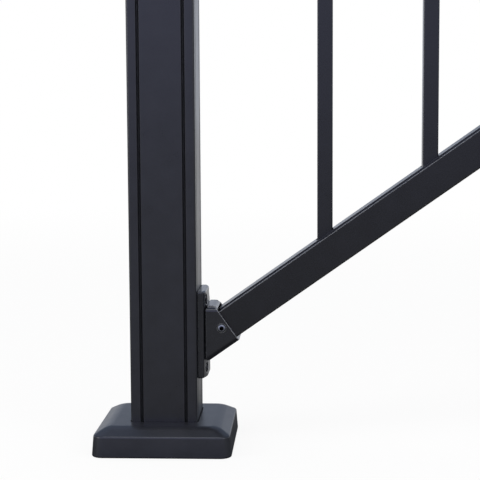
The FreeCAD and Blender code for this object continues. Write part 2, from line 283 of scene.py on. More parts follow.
class RailingRailSettings(bpy.types.PropertyGroup):
    """Sizes of the two rails."""

    lip: length("Lip radius", "Rounding of the long edges beside the strip", 0.0003, 0.0002, 0.003)
    foot_edge: length("Lower edge radius", "Rounding of the bottom rail's lower edges",
                      0.0018, 0.0002, 0.004)
    hand_edge: length("Hand edge radius", "Rounding of the top rail's upper edges",
                      0.005, 0.001, 0.01)


class RailingStripSettings(bpy.types.PropertyGroup):
    """Sizes of the strips that close the rails' mouths."""

    rise: length("Rise", "How far a strip stands above the rail", 0.0013, 0.0001, 0.004)
    edge: length("Edge radius", "Rounding of a strip's long edges", 0.0005, 0.0001, 0.001)
    gap: length("End gap", "Gap between a strip's ends and the cups", 0.004, 0.0, 0.006)


class RailingBalusterSettings(bpy.types.PropertyGroup):
    """Sizes of the square baluster tubes."""

    wall: length("Wall", "Wall thickness of the tube", 0.0013, 0.0008, 0.003)
    corner: length("Corner radius", "Radius of the tube's corners", 0.0012, 0.0002, 0.003)
    corner_steps: IntProperty(
        name="Corner steps", description="Faces round each corner",
        default=4, min=1, max=12)


class RailingCoatSettings(bpy.types.PropertyGroup):
    """Colours and texture of the powder coat and the screws."""

    black: tint("Coat colour", "Colour of the powder coat", (0.0095, 0.0102, 0.0135))
    # The worn edge colour is partly rubbed coat and partly a painted highlight along the edges.
    worn_and_highlight: tint("Worn edge colour", "Colour of the coat where edges are rubbed", (0.33, 0.34, 0.365))
    dust: tint("Dust colour", "Colour of the dust on level faces", (0.23, 0.21, 0.19))
    screw: tint("Cheek screw colour", "Colour of the bright screws in the cheeks",
                (0.2, 0.21, 0.23))
    steel: tint("Plate screw colour", "Colour of the darker screws in the wall plates",
                (0.05, 0.05, 0.055))
    peel: length("Ripple height", "Height of the coat's soft ripple",
                 0.00002, 0.0, 0.0001, precision=6)
    grain: length("Grain height", "Height of the coat's fine grain",
                  0.000006, 0.0, 0.0001, precision=6)


class RailingStageSettings(bpy.types.PropertyGroup):
    """Camera, floor and lamps."""

    camera_place: FloatVectorProperty(
        name="Camera place", description="Where the camera stands",
        default=(0.134672, -1.219843, 0.315724), size=3, precision=6, unit="LENGTH")
    camera_yaw: FloatProperty(
        name="Camera yaw", description="How far the camera looks to the right of +Y",
        default=math.radians(-2.972), unit="ROTATION")
    camera_pitch: FloatProperty(
        name="Camera pitch", description="How far the camera looks down",
        default=math.radians(5.556), unit="ROTATION")
    camera_roll: FloatProperty(
        name="Camera roll", description="How far the camera is turned about its view",
        default=math.radians(-0.326), unit="ROTATION")
    camera_lens: FloatProperty(
        name="Lens", description="Focal length on a 36 mm sensor, in millimetres",
        default=96.17, min=10.0, max=300.0)
    ground: tint("Ground colour", "Colour of the floor in the light that it throws back",
                 (0.35, 0.34, 0.33))
    floor_colour: tint("Floor colour", "Colour of the pale floor as the camera sees it",
                       (0.96, 0.96, 0.96))
    world_level: FloatProperty(
        name="Surround level", description="Brightness of the light from all around",
        default=0.7, min=0.0, max=3.0)
    horizon: tint("Horizon", "Bright band behind the railing, at eye level", (0.86, 0.9, 1.0), 2.0)
    front_low: tint("Front at eye level", "Studio in front, at eye level", (0.42, 0.45, 0.6), 2.0)
    front_high: tint("High front", "Studio in front, above eye level", (1.0, 1.05, 1.65), 2.0)
    ceiling: tint("Ceiling", "Studio overhead", (0.38, 0.46, 0.68), 2.0)
    wall: tint("Back wall", "Studio behind the railing, above the bright horizon",
               (0.2, 0.26, 0.38), 2.0)
    top_lamp: lamp_power("Upper lamp", "Power of the lamp above and in front", 14.0)
    left_lamp: lamp_power("Left lamp", "Power of the lamp on the left", 12.0)
    right_lamp: lamp_power("Right lamp", "Power of the lamp on the right", 12.0)


def only(thing):
    """Make one object the only selected one, and active."""
    bpy.ops.object.select_all(action="DESELECT")
    thing.select_set(True)
    bpy.context.view_layer.objects.active = thing


def settle(thing):
    """Put an object's place, turn and scale into its mesh."""
    only(thing)
    bpy.ops.object.transform_apply(location=True, rotation=True, scale=True)


def rename(thing, name):
    """Give an object and its mesh one name."""
    thing.name = name
    thing.data.name = name
    return thing


def add_block(name, low, high):
    """Box between two corners."""
    bpy.ops.object.select_all(action="DESELECT")
    middle = (Vector(low) + Vector(high)) / 2
    bpy.ops.mesh.primitive_cube_add(size=1.0, location=middle,
                                    scale=Vector(high) - Vector(low))
    block = rename(bpy.context.active_object, name)
    settle(block)
    return block


def add_bar(name, radius, foot, along, sides):
    """Round bar from a point along a vector."""
    bpy.ops.object.select_all(action="DESELECT")
    turn = UPRIGHT.rotation_difference(along).to_euler()
    bpy.ops.mesh.primitive_cylinder_add(
        vertices=sides, radius=radius, depth=along.length,
        location=Vector(foot) + along / 2, rotation=turn)
    bar = rename(bpy.context.active_object, name)
    settle(bar)
    return bar


def edit_where(piece, kind, test):
    """Open a piece in edit mode with only its edges or faces selected that pass a test."""
    only(piece)
    bpy.ops.object.mode_set(mode="EDIT")
    bpy.ops.mesh.select_mode(type=kind)
    bpy.ops.mesh.select_all(action="DESELECT")
    mesh = bmesh.from_edit_mesh(piece.data)
    for part in mesh.edges if kind == "EDGE" else mesh.faces:
        part.select_set(test(part))
    mesh.select_flush_mode()
    bmesh.update_edit_mesh(piece.data)


def close_edit():
    """Leave edit mode."""
    bpy.ops.object.mode_set(mode="OBJECT")


def with_ends(test):
    """Test of an edge that holds where both its ends pass a test of a point."""
    return lambda edge: all(test(vertex.co) for vertex in edge.verts)


def is_upright(first, second):
    """True where one point stands above the other."""
    return abs((first - second).normalized().z) > STRAIGHT


def stands_upright(edge):
    """True for an upright edge."""
    return is_upright(*(vertex.co for vertex in edge.verts))


def round_edges(piece, radius, test, steps):
    """Round the edges that pass a test."""
    edit_where(piece, "EDGE", test)
    bpy.ops.mesh.bevel(offset=radius, segments=steps, affect="EDGES", clamp_overlap=False)
    close_edit()


def cut_beyond(piece, point, normal):
    """Cut away all that lies beyond a plane, and close the cut."""
    only(piece)
    bpy.ops.object.mode_set(mode="EDIT")
    bpy.ops.mesh.select_all(action="SELECT")
    bpy.ops.mesh.bisect(plane_co=point, plane_no=Vector(normal).normalized(),
                        use_fill=True, clear_outer=True, threshold=1e-6)
    close_edit()


def apply_modifier(piece, name, kind, **settings):
    """Give a piece a modifier with its settings, and apply it."""
    only(piece)
    modifier = piece.modifiers.new(name, kind)
    for setting, value in settings.items():
        setattr(modifier, setting, value)
    bpy.ops.object.modifier_apply(modifier=modifier.name)


def combine(piece, other, operation):
    """Cut another shape from a piece, or add it, and remove the other."""
    apply_modifier(piece, operation.title(), "BOOLEAN", operation=operation, solver="EXACT",
                   object=other)
    bpy.data.objects.remove(other)


def drill(piece, radius, foot, along, sides):
    """Cut a round hole from a point along a vector."""
    combine(piece, add_bar("hole", radius, foot, along, sides), "DIFFERENCE")


def round_by_weight(piece, width, weigh, steps=6):
    """Round each edge by a width times the weight that its two ends give it."""
    mesh = piece.data
    weights = mesh.attributes.new("bevel_weight_edge", "FLOAT", "EDGE")
    for edge in mesh.edges:
        first, second = (mesh.vertices[index].co for index in edge.vertices)
        weights.data[edge.index].value = weigh(first, second)
    apply_modifier(piece, "Rounding", "BEVEL", width=width, segments=steps,
                   limit_method="WEIGHT", use_clamp_overlap=False)
    left = mesh.attributes.get("bevel_weight_edge")
    if left:
        mesh.attributes.remove(left)


def soften(piece, radius, sharper_than):
    """Round every edge sharper than an angle in degrees, then shade smooth over it."""
    apply_modifier(piece, "Soft edges", "BEVEL", width=radius, segments=2,
                   limit_method="ANGLE", angle_limit=math.radians(sharper_than),
                   use_clamp_overlap=True)
    smooth(piece)


def smooth(piece):
    """Shade smooth up to a small angle, with the large flat faces kept flat."""
    only(piece)
    bpy.ops.object.shade_smooth_by_angle(angle=math.radians(32))
    apply_modifier(piece, "Flat faces", "WEIGHTED_NORMAL", keep_sharp=True, weight=90)


def copy_to(piece, name, matrix):
    """Copy of a piece with its own mesh, moved by a matrix into its place."""
    only(piece)
    bpy.ops.object.duplicate(linked=False)
    copy = rename(bpy.context.active_object, name)
    copy.matrix_world = matrix
    settle(copy)
    return copy


def finish_piece(piece, slot, *nodes, coat=None):
    """Give a piece its coat, chosen by its slot unless a coat is named, put it in its body, and
    hide the nodes that it stands for.
    """
    piece.data.materials.clear()
    piece.data.materials.append(coats[coat or slot])
    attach(piece, "root")
    if nodes:
        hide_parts(*nodes)


def place_on_posts(shape, ending, name, slot):
    """Copy a shape to the foot of its node on both posts, and remove the shape."""
    for post in POSTS:
        node = post + ending
        low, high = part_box(node)
        place = Matrix.Translation(((low.x + high.x) / 2, 0.0, low.z))
        finish_piece(copy_to(shape, name + post, place), slot, node)
    bpy.data.objects.remove(shape)


def bracket_matrix(bracket):
    """Place of a bracket: the post's face, at the height of the rail's underside."""
    low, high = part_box(bracket + "_bracket_plate")
    if bracket.startswith("lower"):
        return Matrix.Translation((low.x, 0.0, low.z + PLATE_BELOW))
    place = Matrix.Translation((high.x, 0.0, high.z - PLATE_BELOW))
    return place @ Matrix.Rotation(math.pi, 4, "Y")


def place_on_brackets(shape, ending, name):
    """Copy a shape to its place in all brackets, and remove the shape."""
    for bracket in BRACKETS:
        piece = copy_to(shape, name + bracket, bracket_matrix(bracket))
        finish_piece(piece, "bracket_coat", bracket + ending)
    bpy.data.objects.remove(shape)


def on_slope(along, up):
    """Point given along and square to the slope."""
    return ALONG_SLOPE * along + OFF_SLOPE * up


def shape_plate(sizes):
    """Crowned wall plate of a bracket, in the bracket's own place."""
    half, crown = PLATE_WIDTH / 2, PLATE_CROWN / 2
    plate = add_block("plate_shape", (0.0, -half, -PLATE_BELOW),
                      (PLATE_THICKNESS, half, PLATE_ABOVE))
    for side in (-1, 1):
        lean = (half - crown, side * (PLATE_THICKNESS - PLATE_RIM), 0.0)
        cut_beyond(plate, (PLATE_THICKNESS, side * crown, 0.0), lean)
    cut_beyond(plate, (PLATE_THICKNESS, 0.0, PLATE_ABOVE - PLATE_TAPER_LENGTH),
               (PLATE_TAPER_LENGTH, 0.0, PLATE_TAPER))
    edge, wall = sizes.edge / sizes.crown_edge, sizes.wall_edge / sizes.crown_edge

    def weigh(first, second):
        on_crown = max(abs(first.y), abs(second.y)) < crown + TOUCH and is_upright(first, second)
        if max(first.x, second.x) < TOUCH:
            return wall
        return 1.0 if on_crown else edge

    round_by_weight(plate, sizes.crown_edge, weigh, steps=5)
    for height, radius in POCKETS.values():
        for side in (-POCKET_OFFSET, POCKET_OFFSET):
            drill(plate, radius, (POCKET_FLOOR, side, height),
                  Vector((PLATE_THICKNESS, 0.0, 0.0)), sides=48)
            drill(plate, PLATE_BORE, (-PLATE_THICKNESS, side, height),
                  Vector((3 * PLATE_THICKNESS, 0.0, 0.0)), sides=24)
    soften(plate, sizes.pocket_edge, sharper_than=50)
    return plate


def mouth_point(up):
    """Point on a cup's mouth, which leans back from square to the slope."""
    return on_slope(CUP_REACH - (up + CUP_LIP) * MOUTH_LEAN, up)


def mouth_outward():
    """Outward normal of a cup's mouth."""
    return ALONG_SLOPE + OFF_SLOPE * MOUTH_LEAN


def shape_cheeks(sizes):
    """Wedge block of a cup: its underside runs along the slope and its top is level."""
    mouth_foot, mouth_top = mouth_point(-CUP_LIP), mouth_point(CUP_TOP_UP)
    half, back = CUP_WIDTH / 2, CUP_BACK - CUP_CHEEK_BACK
    block = add_block("cup_shape", (back, -half, -WEDGE_MARGIN),
                      (mouth_foot.x + WEDGE_MARGIN, half, mouth_top.z))
    cut_beyond(block, mouth_foot, -OFF_SLOPE)
    cut_beyond(block, mouth_foot, mouth_outward())
    widest = max(sizes.top_edge, sizes.foot_edge)
    cheek, mouth = sizes.cheek_edge / widest, sizes.mouth_edge / widest
    foot, top = sizes.foot_edge / widest, sizes.top_edge / widest

    def weigh(first, second):
        if min(first.z, second.z) > mouth_top.z - TOUCH:
            return top if abs(first.x - second.x) > TOUCH else ACROSS_SHARE * top
        beyond = [(point - mouth_foot).dot(mouth_outward()) for point in (first, second)]
        if min(beyond) > -TOUCH:
            return mouth
        above = [(point - mouth_foot).dot(OFF_SLOPE) for point in (first, second)]
        return foot if max(above) < TOUCH else cheek

    round_by_weight(block, widest, weigh, steps=8)
    return block


def shape_roof(sizes):
    """Raised roof of a cup, with a rounded end over the mouth."""
    mouth_top = mouth_point(CUP_TOP_UP + sizes.roof_rise / math.cos(SLOPE))
    half = CUP_WIDTH / 2 - sizes.roof_inset
    foot = mouth_point(RAIL_HEIGHT)
    roof = add_block("roof", (CUP_BACK, -half, foot.z), (foot.x, half, mouth_top.z))
    cut_beyond(roof, foot, mouth_outward())
    side = sizes.roof_edge / sizes.roof_corner

    def weigh(first, second):
        across = abs(first.x - second.x) < TOUCH and first.z > mouth_top.z - TOUCH
        return 1.0 if across and first.x > CUP_BACK + TOUCH else side

    round_by_weight(roof, sizes.roof_corner, weigh)
    return roof


def shape_room():
    """Room for the rail's end inside a cup."""
    half = ROOM_WIDTH / 2
    room = add_block("room", (-LONG, -half, 0.0), (LONG, half, ROOM_HEIGHT))
    room.matrix_world = Matrix.Rotation(-SLOPE, 4, "Y")
    settle(room)
    cut_beyond(room, (CUP_BACK + CUP_WALL, 0.0, 0.0), (-1.0, 0.0, 0.0))
    return room


def shape_cup(sizes):
    """Wedge cup of a bracket, in the bracket's own place."""
    cup = shape_cheeks(sizes)
    half = RAIL_WIDTH / 2
    crown_room = add_block("crown_room", (-LONG, -half, -LONG), (CUP_BACK, half, LONG))
    combine(cup, crown_room, "DIFFERENCE")
    combine(cup, shape_roof(sizes), "UNION")
    combine(cup, shape_room(), "DIFFERENCE")
    spot = cheek_screw_place()
    drill(cup, CUP_BORE, (spot.x, -CUP_WIDTH, spot.z), Vector((0.0, 2 * CUP_WIDTH, 0.0)),
          sides=24)
    for side in (-CUP_WIDTH / 2, CUP_WIDTH / 2):
        drill(cup, SCREW_SEAT, (spot.x, side - SEAT_DEPTH, spot.z),
              Vector((0.0, 2 * SEAT_DEPTH, 0.0)), sides=48)
    soften(cup, FINE_EDGE, sharper_than=45)
    return cup


def cheek_screw_place():
    """Middle of the cheek screws, in the bracket's own place."""
    return on_slope(CUP_REACH - CHEEK_SCREW_FROM_END, RAIL_HEIGHT / 2)


def shape_screw(sizes):
    """Button head with a six-sided socket, standing on Z 0 with its shank below."""
    height = sizes.head_height
    head = add_bar("screw_shape", sizes.head_radius, (0.0, 0.0, 0.0), UPRIGHT * height, 40)
    round_edges(head, DOME_SHARE * height, with_ends(lambda point: point.z > height - TOUCH),
                steps=6)
    edit_where(head, "FACE", lambda face: face.normal.z < -FACING)
    bpy.ops.mesh.inset(thickness=sizes.head_radius - PLATE_BORE + SHANK_PLAY)
    bpy.ops.mesh.extrude_region_move(
        TRANSFORM_OT_translate={"value": (0.0, 0.0, -SHANK_LENGTH)})
    close_edit()
    drill(head, sizes.socket_radius, (0.0, 0.0, height - sizes.socket_depth),
          UPRIGHT * 2 * sizes.socket_depth, sides=6)
    soften(head, SOCKET_EDGE, sharper_than=40)
    return head


def shape_shell(name, corner, levels):
    """Rounded square box through (height, side) levels, the first of them on Z 0."""
    (_, foot), (first_top, first_side) = levels[:2]
    half = foot / 2
    shell = add_block(name, (-half, -half, 0.0), (half, half, first_top))
    round_edges(shell, corner, stands_upright, steps=12)
    edit_where(shell, "FACE", lambda face: face.normal.z > FACING)
    shrink = first_side / foot
    bpy.ops.transform.resize(value=(shrink, shrink, 1.0))
    for (low, low_side), (high, high_side) in zip(levels[1:], levels[2:]):
        rise = {"value": (0.0, 0.0, high - low)}
        bpy.ops.mesh.extrude_region_move(TRANSFORM_OT_translate=rise)
        shrink = high_side / low_side
        bpy.ops.transform.resize(value=(shrink, shrink, 1.0))
    close_edit()
    return shell


def round_rings(shell, widths):
    """Round the level rings of a shell, given as a width for each height."""
    widest = max(widths.values())

    def weigh(first, second):
        for height, width in widths.items():
            if max(abs(first.z - height), abs(second.z - height)) < TOUCH:
                return width / widest
        return 0.0

    round_by_weight(shell, widest, weigh)


def shape_post_room(height):
    """Rounded square bar of the room that a post takes up."""
    half = POST_ROOM / 2
    room = add_block("post_room", (-half, -half, -height), (half, half, height))
    round_edges(room, POST_ROOM_CORNER, stands_upright, steps=8)
    return room


def shape_cover(sizes, height):
    """Base cover standing on Z 0: an open shell with a square opening for the post."""
    shell = shape_shell("cover_shape", sizes.corner, [
        (0.0, sizes.foot), (sizes.wall_height, sizes.side), (height, sizes.plateau)])
    round_rings(shell, {0.0: sizes.foot_edge, sizes.wall_height: sizes.wall_edge,
                        height: sizes.plateau_edge})
    wall = sizes.thickness
    hollow = shape_shell("hollow", sizes.corner - wall, [
        (0.0, sizes.foot - 2 * wall), (sizes.wall_height - wall / 2, sizes.side - 2 * wall),
        (height - wall, sizes.plateau - wall)])
    edit_where(hollow, "EDGE", with_ends(lambda point: abs(point.z) < TOUCH))
    bpy.ops.transform.translate(value=(0.0, 0.0, -wall))
    close_edit()
    combine(shell, hollow, "DIFFERENCE")
    combine(shell, shape_post_room(2 * height), "DIFFERENCE")
    soften(shell, FINE_EDGE, sharper_than=45)
    return shell


def shape_cap(sizes, side, height):
    """Post cap standing on Z 0, open below."""
    cap = shape_shell("cap_shape", sizes.corner, [
        (0.0, side), (sizes.wall_height, side), (height, sizes.plateau)])
    round_rings(cap, {0.0: sizes.edge, sizes.wall_height: sizes.edge,
                      height: 2 * sizes.edge})
    combine(cap, shape_post_room(sizes.skirt), "DIFFERENCE")
    soften(cap, FINE_EDGE, sharper_than=45)
    return cap


def shape_post(sizes, width, height):
    """Post standing on Z 0, with two grooves in each face, each of two V cuts."""
    half = width / 2
    post = add_block("post_shape", (-half, -half, 0.0), (half, half, height))

    def weigh(first, second):
        return 1.0 if is_upright(first, second) else 0.0

    round_by_weight(post, sizes.corner, weigh)
    cuts = [side * sizes.groove_offset + shift * sizes.groove_split / 2
            for side in (-1, 1) for shift in (-1, 1)]
    deeper = Matrix.Diagonal((1.0, 2 * sizes.groove_depth / sizes.groove, 1.0, 1.0))
    for turn in range(4):
        for offset in cuts:
            bar = add_bar("groove", sizes.groove / 2, (0.0, 0.0, -OVERSHOOT),
                          UPRIGHT * (height + 2 * OVERSHOOT), sides=4)
            bar.matrix_world = (Matrix.Rotation(turn * math.pi / 2, 4, "Z")
                                @ Matrix.Translation((offset, -half, 0.0)) @ deeper)
            settle(bar)
            combine(post, bar, "DIFFERENCE")
    soften(post, sizes.lip, sharper_than=30)
    return post


def shape_rail(sizes, far_edge, strip_below, name):
    """Rail along the slope, between the upright ends of its node."""
    half = RAIL_WIDTH / 2
    seat, up = (0.0, -1.0) if strip_below else (RAIL_HEIGHT, 1.0)
    low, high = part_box(name + "_rail")
    reach = (high - low).length
    rail = add_block(name + "_rail_shape", (-LONG, -half, 0.0),
                     (reach + LONG, half, RAIL_HEIGHT))
    widest = max(far_edge, sizes.lip)

    def weigh(first, second):
        if abs(first.x - second.x) < TOUCH:
            return 0.0
        return (sizes.lip if abs(first.z - seat) < TOUCH else far_edge) / widest

    round_by_weight(rail, widest, weigh)
    span = (-2 * LONG, reach + 2 * LONG)
    for width, depths in ((STRIP_TOP + SIDE_PLAY, (-MOUTH_DEPTH, MOUTH_DEPTH)),
                          (MOUTH_WIDTH, (LIP_THICKNESS, MOUTH_DEPTH))):
        combine(rail, add_layer("mouth", span, width, seat, up, depths), "DIFFERENCE")
    lay_on_slope(rail, name)
    cut_beyond(rail, low, (-1.0, 0.0, 0.0))
    cut_beyond(rail, high, (1.0, 0.0, 0.0))
    smooth(rail)
    return rail


def add_layer(name, span, width, seat, up, depths):
    """Level bar between two depths under a rail's mouth side."""
    levels = sorted(seat - up * depth for depth in depths)
    return add_block(name, (span[0], -width / 2, levels[0]), (span[1], width / 2, levels[1]))


def lay_on_slope(piece, name):
    """Turn a level piece to the slope, from a rail's underside at the lower post's face."""
    start = bracket_matrix("lower_" + name)
    piece.matrix_world = (start @ Matrix.Rotation(-SLOPE, 4, "Y")
                          @ Matrix.Translation((0.0, 0.0, -RAIL_REST)))
    settle(piece)


def shape_strip(sizes, strip_below, name):
    """Strip in a rail's mouth, stopping short of the cups, with a hole for each baluster."""
    low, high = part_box(name + "_rail_strip")
    span = (0.0, (high - low).length)
    seat, up = (0.0, -1.0) if strip_below else (RAIL_HEIGHT, 1.0)
    strip = add_layer(name + "_strip_shape", span, STRIP_TOP, seat, up,
                      (-sizes.rise, LIP_THICKNESS + 2 * LIP_PLAY))
    base = add_layer("base", span, MOUTH_WIDTH - SIDE_PLAY, seat, up,
                     (LIP_THICKNESS + LIP_PLAY, MOUTH_DEPTH - FLOOR_PLAY))
    combine(strip, base, "UNION")
    lay_on_slope(strip, name)
    for end, side in ((low, -1.0), (high, 1.0)):
        normal = ALONG_SLOPE * side
        cut_beyond(strip, Vector((end.x, 0.0, end.z)) - normal * sizes.gap, normal)
    reach = Vector((BALUSTER_HOLE / 2, BALUSTER_HOLE / 2, 2 * LONG))
    for node in BALUSTERS:
        middle = sum(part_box(node), Vector()) / 2
        combine(strip, add_block("hole", middle - reach, middle + reach), "DIFFERENCE")
    soften(strip, sizes.edge, sharper_than=40)
    return strip


def shape_baluster(sizes, low, high):
    """Square tube with rounded corners between two corners of its box."""
    tube = add_block("baluster_shape", low, high)
    edit_where(tube, "FACE", lambda face: abs(face.normal.z) > FACING)
    bpy.ops.mesh.inset(thickness=sizes.wall, use_individual=True)
    bpy.ops.mesh.bridge_edge_loops()
    close_edit()
    half = (high.x - low.x) / 2
    middle = (low.x + high.x) / 2
    at_corner = with_ends(
        lambda point: min(abs(point.x - middle), abs(point.y)) > half - TOUCH)
    round_edges(tube, sizes.corner, at_corner, sizes.corner_steps)
    smooth(tube)
    return tube


def add_node(tree, kind, **values):
    """Node of a kind, with its plain settings."""
    node = tree.nodes.new(kind)
    for name, value in values.items():
        setattr(node, name, value)
    return node


def fill(node, **values):
    """Set inputs of a node to values, or link them to sockets, with _ for a space."""
    for name, value in values.items():
        target = node.inputs[name.replace("_", " ")]
        if isinstance(value, bpy.types.NodeSocket):
            node.id_data.links.new(value, target)
        else:
            target.default_value = value
    return node


def maths(tree, operation, first, second):
    """Result of a sum on two sockets or numbers."""
    node = add_node(tree, "ShaderNodeMath", operation=operation)
    for index, value in enumerate((first, second)):
        if isinstance(value, (int, float)):
            node.inputs[index].default_value = value
        else:
            tree.links.new(value, node.inputs[index])
    return node.outputs[0]


def plus_share(tree, start, value, share):
    """Start plus a share of a value, each a socket or a number."""
    return maths(tree, "ADD", start, maths(tree, "MULTIPLY", value, share))


def noise(tree, place, scale, detail, roughness):
    """Factor of a noise texture."""
    node = add_node(tree, "ShaderNodeTexNoise")
    fill(node, Vector=place, Scale=scale, Detail=detail, Roughness=roughness)
    return node.outputs["Fac"]


def between(tree, value, low, high):
    """Value brought from low..high to 0..1."""
    node = add_node(tree, "ShaderNodeMapRange", interpolation_type="SMOOTHSTEP")
    return fill(node, Value=value, From_Min=low, From_Max=high).outputs["Result"]


def new_group(name, inputs, outputs):
    """Shader group that reads a place and (name, default) inputs, and gives named outputs."""
    group = bpy.data.node_groups.new(name, "ShaderNodeTree")
    group.interface.new_socket("Place", in_out="INPUT", socket_type="NodeSocketVector")
    for socket, default in inputs:
        made = group.interface.new_socket(socket, in_out="INPUT",
                                          socket_type="NodeSocketFloat")
        made.default_value = default
    for socket in outputs:
        group.interface.new_socket(socket, in_out="OUTPUT", socket_type="NodeSocketFloat")
    given = group.nodes.new("NodeGroupInput").outputs
    return group, given, group.nodes.new("NodeGroupOutput")


def grain_group():
    """Powder coat surface: a soft ripple and a fine grain, in metres, and a gloss mottle."""
    group, given, end = new_group(
        "powder_grain",
        (("Ripple Height", 0.00001), ("Grain Height", 0.000006), ("Ripples per Metre", 420.0)),
        ("Height", "Mottle"))
    place = given["Place"]
    ripple = noise(group, place, given["Ripples per Metre"], detail=2.0, roughness=0.45)
    fine = noise(group, place, scale=2600.0, detail=2.0, roughness=0.6)
    height = maths(group, "MULTIPLY", ripple, given["Ripple Height"])
    height = plus_share(group, height, fine, given["Grain Height"])
    cloud = noise(group, place, scale=55.0, detail=3.0, roughness=0.6)
    speck = noise(group, place, scale=1500.0, detail=1.0, roughness=0.5)
    mottle = plus_share(group, maths(group, "MULTIPLY", cloud, 0.6), speck, 0.4)
    fill(end, Height=height, Mottle=mottle)
    return group


def wear_and_highlight_group():
    """Mask of rubbed edges, broken up along their length; it also paints highlights along the
    edges.
    """
    group, given, end = new_group(
        "edge_wear_and_highlight", (("Width", 0.0008), ("Amount", 0.5)), ("Mask",))
    bevel = fill(add_node(group, "ShaderNodeBevel", samples=6), Radius=given["Width"])
    facing = add_node(group, "ShaderNodeNewGeometry")
    dot = add_node(group, "ShaderNodeVectorMath", operation="DOT_PRODUCT")
    group.links.new(bevel.outputs["Normal"], dot.inputs[0])
    group.links.new(facing.outputs["Normal"], dot.inputs[1])
    turned = maths(group, "SUBTRACT", 1.0, dot.outputs["Value"])
    edge = between(group, turned, low=0.004, high=0.06)
    patches = noise(group, given["Place"], scale=190.0, detail=4.0, roughness=0.65)
    breakup = between(group, patches, low=0.38, high=0.66)
    broken = maths(group, "MULTIPLY", edge, plus_share(group, 0.75, breakup, 0.35))
    fill(end, Mask=maths(group, "MULTIPLY", broken, given["Amount"]))
    return group


def dust_group():
    """Mask of dust that settles on faces that look up."""
    group, given, end = new_group("settled_dust", (("Amount", 0.3),), ("Mask",))
    facing = add_node(group, "ShaderNodeNewGeometry")
    parts = fill(add_node(group, "ShaderNodeSeparateXYZ"), Vector=facing.outputs["Normal"])
    level = between(group, parts.outputs["Z"], low=0.25, high=0.95)
    clouds = noise(group, given["Place"], scale=38.0, detail=5.0, roughness=0.62)
    specks = noise(group, given["Place"], scale=900.0, detail=2.0, roughness=0.6)
    drift = between(group, clouds, low=0.3, high=0.75)
    motes = between(group, specks, low=0.52, high=0.72)
    cover = plus_share(group, maths(group, "MULTIPLY", drift, 0.6), motes, 0.4)
    mask = maths(group, "MULTIPLY", level, cover)
    fill(end, Mask=maths(group, "MULTIPLY", mask, given["Amount"]))
    return group


def put_group(tree, group, place, **values):
    """Outputs of a group node in a material, reading a place and the given values."""
    node = add_node(tree, "ShaderNodeGroup", node_tree=group)
    return fill(node, Place=place, **values).outputs


def mix_colour(tree, factor, first, second):
    """Mix of two colours by a factor, each a socket or plain values."""
    node = fill(add_node(tree, "ShaderNodeMix", data_type="RGBA"), Factor=factor)
    for name, colour in (("A", first), ("B", second)):
        is_socket = isinstance(colour, bpy.types.NodeSocket)
        fill(node, **{name: colour if is_socket else (*colour, 1.0)})
    return node.outputs["Result"]


def ramp(tree, value, stops):
    """Colour that runs through grey (value, level) stops."""
    low, high = stops[0][0], stops[-1][0]
    share = fill(add_node(tree, "ShaderNodeMapRange"), Value=value, From_Min=low, From_Max=high)
    node = fill(add_node(tree, "ShaderNodeValToRGB"), Fac=share.outputs["Result"])
    elements = node.color_ramp.elements
    for at, level in stops[1:-1]:
        elements.new((at - low) / (high - low)).color = (level, level, level, 1.0)
    for element, (_, level) in ((elements[0], stops[0]), (elements[-1], stops[-1])):
        element.color = (level, level, level, 1.0)
    return node.outputs["Color"]


def new_material(name):
    """Node material, its tree, its shader and the place on its piece."""
    material = bpy.data.materials.new(name)
    material.use_nodes = True
    tree = material.node_tree
    place = add_node(tree, "ShaderNodeTexCoord").outputs["Object"]
    return material, tree, tree.nodes["Principled BSDF"], place


def mottled(tree, mottle, colour, spread):
    """Colour that the mottle makes darker and lighter by a spread."""
    dark, light = ([min(1.0, level * part) for part in colour]
                   for level in (1.0 - spread, 1.0 + spread))
    return mix_colour(tree, mottle, dark, light)


def add_relief(tree, shader, height, **more):
    """Put a height in metres on a shader's surface, as a bump."""
    bump = fill(add_node(tree, "ShaderNodeBump"), Strength=1.0, Distance=1.0, Height=height,
                **more)
    fill(shader, Normal=bump.outputs["Normal"])


def make_coat(name, groups, colours, finish):
    """Powder coat material: colour, gloss, ripple, rubbed edges that also paint edge highlights,
    and settled dust.
    """
    roughness, depth, wear_and_highlight_amount, wear_and_highlight_width, dust_amount, coarseness = finish
    coat, tree, shader, place = new_material(name)
    grain = put_group(tree, groups["grain"], place, Ripple_Height=colours.peel * coarseness,
                      Grain_Height=colours.grain * coarseness, Ripples_per_Metre=400.0)
    wear_and_highlight = put_group(tree, groups["wear_and_highlight"], place, Width=wear_and_highlight_width, Amount=wear_and_highlight_amount)
    dust = put_group(tree, groups["dust"], place, Amount=dust_amount)
    black = [depth * part for part in colours.black]
    tone = mottled(tree, grain["Mottle"], black, 0.5)
    # The edge band lightens the coat, partly as wear and partly as a painted highlight.
    rubbed_and_lit = mix_colour(tree, wear_and_highlight["Mask"], tone, colours.worn_and_highlight)
    dusted = mix_colour(tree, dust["Mask"], rubbed_and_lit, colours.dust)
    gloss = plus_share(tree, roughness - COAT_MOTTLE / 2, grain["Mottle"], COAT_MOTTLE)
    gloss = plus_share(tree, gloss, dust["Mask"], DUST_DULLNESS)
    edge = fill(add_node(tree, "ShaderNodeBevel", samples=6), Radius=SHADED_EDGE)
    add_relief(tree, shader, grain["Height"], Normal=edge.outputs["Normal"])
    fill(shader, Base_Color=dusted, Roughness=gloss, IOR=1.5)
    return coat


